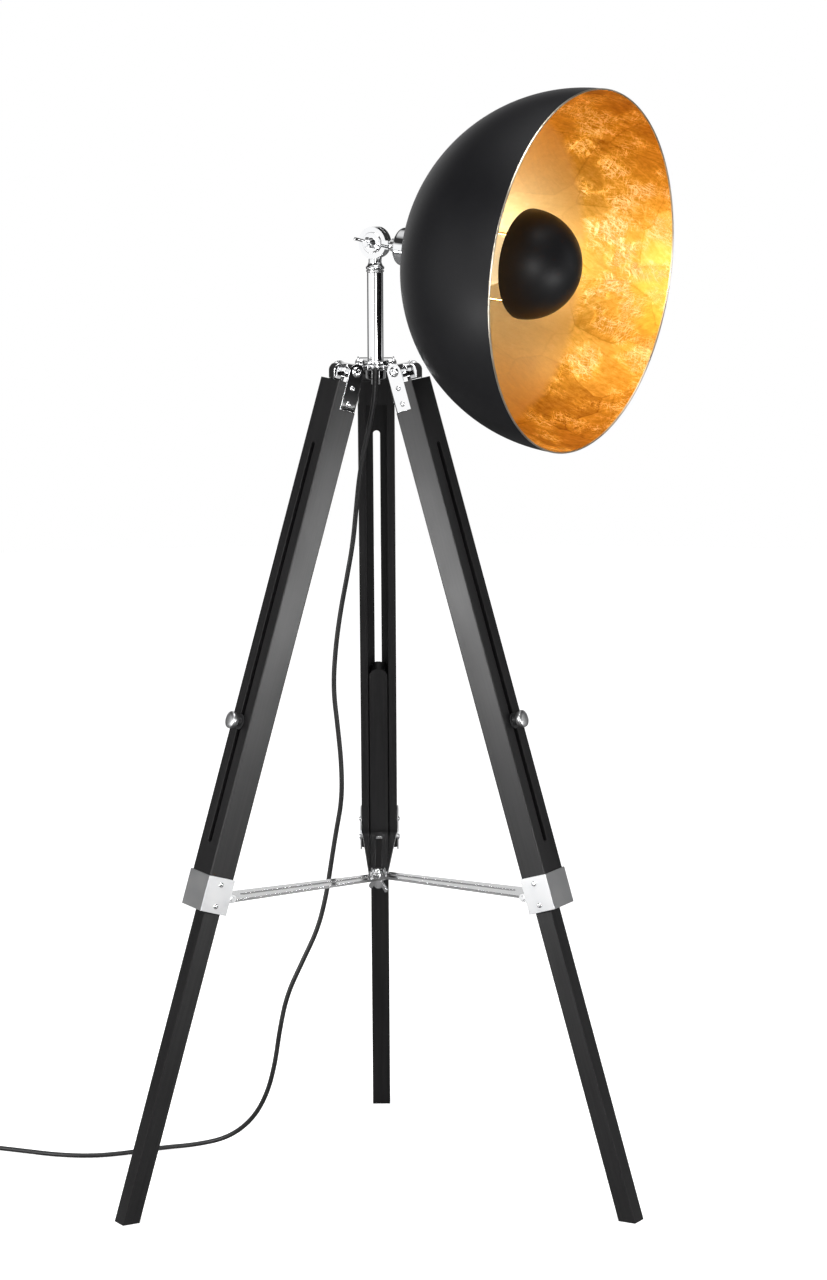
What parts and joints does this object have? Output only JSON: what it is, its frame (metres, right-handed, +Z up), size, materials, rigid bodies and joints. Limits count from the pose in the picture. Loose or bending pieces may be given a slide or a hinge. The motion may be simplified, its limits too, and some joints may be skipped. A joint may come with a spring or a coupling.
{
  "type": "tripod floor lamp",
  "caption": "Floor lamp on folding black timber legs that lengthen, with a chrome spreader and a tilting hemispherical metal shade lined in gold leaf.",
  "frame": {"origin": "on the floor, under the middle of the lamp without its lead", "axes": "+Z up; the viewer stands towards -Y; the shade faces +X and a little towards the viewer"},
  "size_m": [0.9994, 0.6514, 1.2693],
  "materials": {
    "lacquered_timber": "satin black lacquer over straight-grained timber",
    "black_metal": "matt black powder coat",
    "gold_leaf": "crinkled gold leaf on the inside of the shade",
    "pale_trim": "satin pale metal edge",
    "gilt_rod": "polished",
    "polished_chrome": "mirror polished",
    "satin_steel": "satin",
    "black_plastic": "moulded black",
    "cap_shell": "rolled thread",
    "bulb_glass": "frosted",
    "pin_metal": "turned",
    "black_rubber": "smooth black"
  },
  "bodies": {
    "crown": {"crown_casting": "polished_chrome", "crown_flange": "polished_chrome", "column_tube": "polished_chrome", "column_rod": "satin_steel", "column_ferrule": "polished_chrome", "cord_bush": "black_rubber", "cord_tube": "black_rubber", "cord_coil": "black_rubber", "switch_housing": "black_plastic", "plug_body": "black_plastic", "plug_pins": "pin_metal"},
    "neck": {"neck_fitting": "polished_chrome", "tilt_bolt": "polished_chrome", "tilt_washer": "polished_chrome"},
    "tilt_nut": {"tilt_wing_nut": "polished_chrome"},
    "head": {"knuckle_arm": "polished_chrome", "shade_shell": "black_metal", "shade_lining": "gold_leaf", "shade_rim": "pale_trim", "glare_dome": "black_metal", "dome_rods": "gilt_rod", "shade_cap": "polished_chrome", "lamp_holder": "black_plastic", "holder_ring": "black_plastic", "bulb_base": "cap_shell", "bulb_glass": "bulb_glass"},
    "spreader_clamp": {"spreader_bolt": "polished_chrome", "spreader_washers": "polished_chrome"},
    "spreader_nut": {"spreader_wing_nut": "polished_chrome"},
    "button": {"switch_button": "black_plastic"},
    "leg_left": {"upper_leg_left": "lacquered_timber", "leg_straps_left": "polished_chrome", "pivot_bolt_left": "polished_chrome", "leg_screws_left": "polished_chrome", "leg_collar_left": "satin_steel", "hinge_pin_left": "satin_steel"},
    "foot_left": {"lower_leg_left": "lacquered_timber", "clamp_stud_left": "satin_steel"},
    "knob_left": {"clamp_knob_left": "satin_steel"},
    "arm_left": {"spreader_arm_left": "polished_chrome"},
    "leg_right": {"upper_leg_right": "lacquered_timber", "leg_straps_right": "polished_chrome", "pivot_bolt_right": "polished_chrome", "leg_screws_right": "polished_chrome", "leg_collar_right": "satin_steel", "hinge_pin_right": "satin_steel"},
    "foot_right": {"lower_leg_right": "lacquered_timber", "clamp_stud_right": "satin_steel"},
    "knob_right": {"clamp_knob_right": "satin_steel"},
    "arm_right": {"spreader_arm_right": "polished_chrome"},
    "leg_rear": {"upper_leg_rear": "lacquered_timber", "leg_straps_rear": "polished_chrome", "pivot_bolt_rear": "polished_chrome", "leg_screws_rear": "polished_chrome", "leg_collar_rear": "satin_steel", "hinge_pin_rear": "satin_steel"},
    "foot_rear": {"lower_leg_rear": "lacquered_timber", "clamp_stud_rear": "satin_steel"},
    "knob_rear": {"clamp_knob_rear": "satin_steel"},
    "arm_rear": {"spreader_arm_rear": "polished_chrome"}
  },
  "joints": [
    {"name": "head_swivel", "type": "hinge", "parent": "crown", "child": "neck", "pos_m": [-0.018, -0.0135, 1.0585], "axis": [0, 0, 1], "range_deg": [-165, 165]},
    {"name": "head_tilt", "type": "hinge", "parent": "neck", "child": "head", "pos_m": [-0.018, -0.0135, 1.0886], "axis": [-0.5295, -0.8483, 0], "range_deg": [-12, 70]},
    {"name": "tilt_nut_turn", "type": "hinge", "parent": "neck", "child": "tilt_nut", "pos_m": [-0.018, -0.0135, 1.0886], "axis": [-0.5295, -0.8483, 0], "continuous": true},
    {"name": "leg_fold_left", "type": "hinge", "parent": "crown", "child": "leg_left", "pos_m": [-0.04914, -0.03148, 0.94699], "axis": [0.5, -0.866, 0], "range_deg": [0, 15]},
    {"name": "leg_fold_right", "type": "hinge", "parent": "crown", "child": "leg_right", "pos_m": [0.01314, -0.03148, 0.94699], "axis": [0.5, 0.866, 0], "range_deg": [0, 15]},
    {"name": "leg_fold_rear", "type": "hinge", "parent": "crown", "child": "leg_rear", "pos_m": [-0.018, 0.02246, 0.94699], "axis": [-1, 0, 0], "range_deg": [0, 15]},
    {"name": "leg_extend_left", "type": "slide", "parent": "leg_left", "child": "foot_left", "axis": [-0.2564, -0.148, -0.9552], "range_m": [-0.31, 0.13]},
    {"name": "leg_extend_right", "type": "slide", "parent": "leg_right", "child": "foot_right", "axis": [0.2564, -0.148, -0.9552], "range_m": [-0.31, 0.13]},
    {"name": "leg_extend_rear", "type": "slide", "parent": "leg_rear", "child": "foot_rear", "axis": [0, 0.296, -0.9552], "range_m": [-0.31, 0.13]},
    {"name": "knob_turn_left", "type": "hinge", "parent": "foot_left", "child": "knob_left", "pos_m": [-0.17926, -0.1066, 0.56222], "axis": [-0.8272, -0.4776, 0.296], "continuous": true},
    {"name": "knob_turn_right", "type": "hinge", "parent": "foot_right", "child": "knob_right", "pos_m": [0.14326, -0.1066, 0.56222], "axis": [0.8272, -0.4776, 0.296], "continuous": true},
    {"name": "knob_turn_rear", "type": "hinge", "parent": "foot_rear", "child": "knob_rear", "pos_m": [-0.018, 0.1727, 0.56222], "axis": [0, 0.9552, 0.296], "continuous": true},
    {"name": "arm_level_left", "type": "hinge", "parent": "leg_left", "child": "arm_left", "pos_m": [-0.19236, -0.11417, 0.36276], "axis": [0.5, -0.866, 0], "range_deg": [-15, 0]},
    {"name": "arm_level_right", "type": "hinge", "parent": "leg_right", "child": "arm_right", "pos_m": [0.15636, -0.11417, 0.36276], "axis": [0.5, 0.866, 0], "range_deg": [-15, 0]},
    {"name": "arm_level_rear", "type": "hinge", "parent": "leg_rear", "child": "arm_rear", "pos_m": [-0.018, 0.18783, 0.36276], "axis": [-1, 0, 0], "range_deg": [-15, 0]},
    {"name": "spreader_slide", "type": "slide", "parent": "arm_rear", "child": "spreader_clamp", "axis": [0, 1, 0], "range_m": [0, 0.157]},
    {"name": "spreader_nut_turn", "type": "hinge", "parent": "spreader_clamp", "child": "spreader_nut", "pos_m": [-0.018, -0.0135, 0.36276], "axis": [0, 0, 1], "continuous": true},
    {"name": "switch_press", "type": "slide", "parent": "crown", "child": "button", "axis": [0, 0, -1], "range_m": [0, 0.003], "stiffness_N_per_m": 400, "springref_m": -0.001}
  ],
  "couplings": [
    {"joint": "leg_fold_right", "follows": "leg_fold_left", "ratio": 1},
    {"joint": "leg_fold_rear", "follows": "leg_fold_left", "ratio": 1},
    {"joint": "arm_level_left", "follows": "leg_fold_left", "ratio": -1},
    {"joint": "arm_level_right", "follows": "leg_fold_left", "ratio": -1},
    {"joint": "arm_level_rear", "follows": "leg_fold_left", "ratio": -1},
    {"joint": "spreader_slide", "follows": "leg_fold_left", "m_per_rad": 0.5991}
  ]
}
